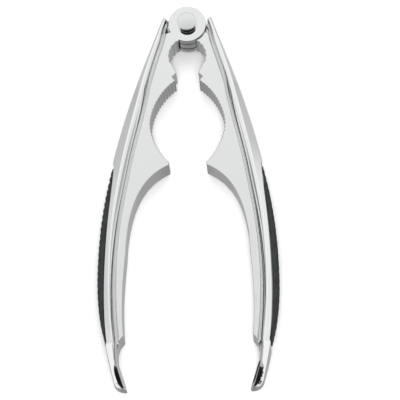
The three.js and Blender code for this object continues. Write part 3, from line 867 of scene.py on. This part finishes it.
# Brightness of the surroundings by height, from straight down at 0 to straight up at 1.
SKY_TONES = [(0.0, 0.2), (0.45, 0.23), (0.52, 0.38), (0.6, 0.48), (0.7, 0.54), (0.85, 0.6), (0.9, 1.0), (0.95, 1.0),
             (0.975, 0.84), (1.0, 0.82)]
HOOD_OUTER, HOOD_INNER, HOOD_TONE = math.radians(31.5), math.radians(30), 0.01  # dark round the lens
BACKDROP = 0.94  # what the camera itself sees behind the table
SOFTBOX_AIM = Vector((0, -0.08, 0))


def table():
    """Pale table with softly rounded edges, wide enough to fill every view."""
    half, lip, bend = TABLE_HALF, TABLE_LIP, TABLE_EDGE_SHAPE * TABLE_LIP
    levels = [(half - lip, 0), (half - bend, -bend), (half, -lip), (half, -TABLE_THICK)]
    rings = [[(sx * size, sy * size, z) for sx, sy in ((1, 1), (-1, 1), (-1, -1), (1, -1))] for size, z in levels]
    floor = loft("table", rings)
    material, shader, add, link = new_material("pale_table")
    place = add("ShaderNodeTexCoord").outputs["Object"]
    tone = noise(add, link, place, 3, 2)
    link(two_tones(add, link, tone, (0, grey(0.9)), (1, grey(0.93))), shader.inputs["Base Color"])
    shader.inputs["Roughness"].default_value = 0.8
    shader.inputs["Specular IOR Level"].default_value = 0.1
    floor.data.materials.append(material)
    floor.visible_glossy = False


def band(add, link, socket, start, full):
    """Mask that is 0 at start and 1 at full, in either order."""
    edge = add("ShaderNodeMapRange", **{"From Min": start, "From Max": full})
    link(socket, edge.inputs["Value"])
    return edge.outputs["Result"]


def product(add, link, *factors):
    result = factors[0]
    for factor in factors[1:]:
        node = add("ShaderNodeMath", operation="MULTIPLY")
        link(result, node.inputs[0])
        link(factor, node.inputs[1])
        result = node.outputs[0]
    return result


def tent_tones(add, link, height):
    """Grey of the light tent by height, before its panels."""
    share = add("ShaderNodeMapRange", **{"From Min": -1.0, "From Max": 1.0})
    link(height, share.inputs["Value"])
    tones = add("ShaderNodeValToRGB")
    elements = tones.color_ramp.elements
    while len(elements) < len(SKY_TONES):
        elements.new(0.5)
    for element, (position, tone) in zip(elements, SKY_TONES):
        element.position, element.color = position, grey(tone)
    link(share.outputs["Result"], tones.inputs["Fac"])
    return tones.outputs["Color"]


def tent_panels(add, link, x, y, z):
    """Masks and tones of the tent's panels, by the direction a ray leaves in, from the first painted to the last."""
    def area(*bands):
        return product(add, link, *(band(add, link, *limits) for limits in bands))

    rising = (z, 0.4, 0.5)
    aside = product(add, link, x, x)
    below = (z, -0.15, -0.35)
    return [
        (area(below), 0.36),
        (area(below, (y, 0.1, 0.35)), 0.46),
        (area(below, (y, -0.1, -0.35)), 0.24),
        (area((aside, 0.25, 0.36), (y, 0.33, 0.45), (y, 0.85, 0.75), (z, -0.9, -0.75), (z, 0.35, 0.25)), 0.6),
        (area((y, 0.7, 0.8), (z, 0.35, 0.25)), 0.08),
        (area((x, -0.3, -0.4), (y, 0.22, 0.14), rising), 1.0),
        (area((x, 0.3, 0.4), (y, 0.22, 0.14), rising), 1.0),
        (area((x, -0.5, -0.58), (y, 0.12, 0.18), (y, 0.5, 0.44), (z, 0.1, 0.16), (z, 0.55, 0.5)), 0.02),
    ]


def lens_hood(add, link, direction):
    """Factor that darkens the directions round the lens."""
    facing = add("ShaderNodeVectorMath", operation="DOT_PRODUCT")
    link(direction, facing.inputs[0])
    facing.inputs[1].default_value = (CAMERA_PLACE - CAMERA_AIM).normalized()
    limits = {"From Min": math.cos(HOOD_OUTER), "From Max": math.cos(HOOD_INNER), "To Min": 1.0, "To Max": HOOD_TONE}
    opening = add("ShaderNodeMapRange", **limits)
    link(facing.outputs["Value"], opening.inputs["Value"])
    return opening.outputs["Result"]


def studio_sky():
    """Light tent that the chrome reflects, with a plain pale backdrop for the camera."""
    world = bpy.data.worlds.new("light_tent")
    bpy.context.scene.world = world
    world.use_nodes = True
    world.node_tree.nodes.clear()
    add, link = node_tools(world.node_tree)
    direction = add("ShaderNodeTexCoord").outputs["Generated"]
    split = add("ShaderNodeSeparateXYZ")
    link(direction, split.inputs[0])
    x, y, z = (split.outputs[axis] for axis in "XYZ")
    surround = tent_tones(add, link, z)
    for mask, tone in tent_panels(add, link, x, y, z):
        painted = add("ShaderNodeMix", data_type="RGBA")
        link(mask, painted.inputs[MIX_FACTOR])
        link(surround, painted.inputs[MIX_A])
        painted.inputs[MIX_B].default_value = grey(tone)
        surround = painted.outputs[MIX_RESULT]
    shaded = add("ShaderNodeMix", data_type="RGBA", blend_type="MULTIPLY")
    shaded.inputs[MIX_FACTOR].default_value = 1.0
    link(surround, shaded.inputs[MIX_A])
    link(lens_hood(add, link, direction), shaded.inputs[MIX_B])
    reflected, backdrop = add("ShaderNodeBackground"), add("ShaderNodeBackground", Color=grey(BACKDROP))
    link(shaded.outputs[MIX_RESULT], reflected.inputs["Color"])
    path = add("ShaderNodeLightPath")
    mixed = add("ShaderNodeMixShader")
    link(path.outputs["Is Camera Ray"], mixed.inputs[0])
    link(reflected.outputs[0], mixed.inputs[1])
    link(backdrop.outputs[0], mixed.inputs[2])
    link(mixed.outputs[0], add("ShaderNodeOutputWorld").inputs["Surface"])


def softbox(name, place, size, power):
    """Rectangular light over the tool, which shows neither to the camera nor in reflections."""
    light = bpy.data.lights.new(name, "AREA")
    light.shape = "RECTANGLE"
    light.size, light.size_y = size
    light.energy = power
    obj = bpy.data.objects.new(name, light)
    obj.location = place
    obj.rotation_euler = (SOFTBOX_AIM - Vector(place)).to_track_quat("-Z", "Y").to_euler()
    obj.visible_glossy = False
    obj.visible_camera = False
    bpy.context.scene.collection.objects.link(obj)


def studio_camera():
    """Camera at its fitted place, turned to its aim and rolled a little."""
    camera = bpy.data.objects.new("camera", bpy.data.cameras.new("camera"))
    bpy.context.scene.collection.objects.link(camera)
    camera.data.sensor_width = SENSOR_WIDTH
    camera.data.lens = CAMERA_LENS
    camera.data.clip_start, camera.data.clip_end = 0.05, 20
    look = (CAMERA_AIM - CAMERA_PLACE).normalized()
    right = look.cross(Vector((0, 1, 0))).normalized()
    up = right.cross(look)
    c, s = math.cos(CAMERA_ROLL), math.sin(CAMERA_ROLL)
    right, up = right * c - up * s, up * c + right * s
    turn = Matrix((right, up, -look)).transposed()
    camera.matrix_world = Matrix.Translation(CAMERA_PLACE) @ turn.to_4x4()
    bpy.context.scene.camera = camera


table()
studio_sky()
softbox("overhead", (0.0, 0.25, 1.2), (1.6, 1.2), 12)
softbox("beside_lens", (0.09, -0.62, 1.6), (0.5, 0.5), 14)
studio_camera()
bpy.context.scene.view_settings.view_transform = "Standard"
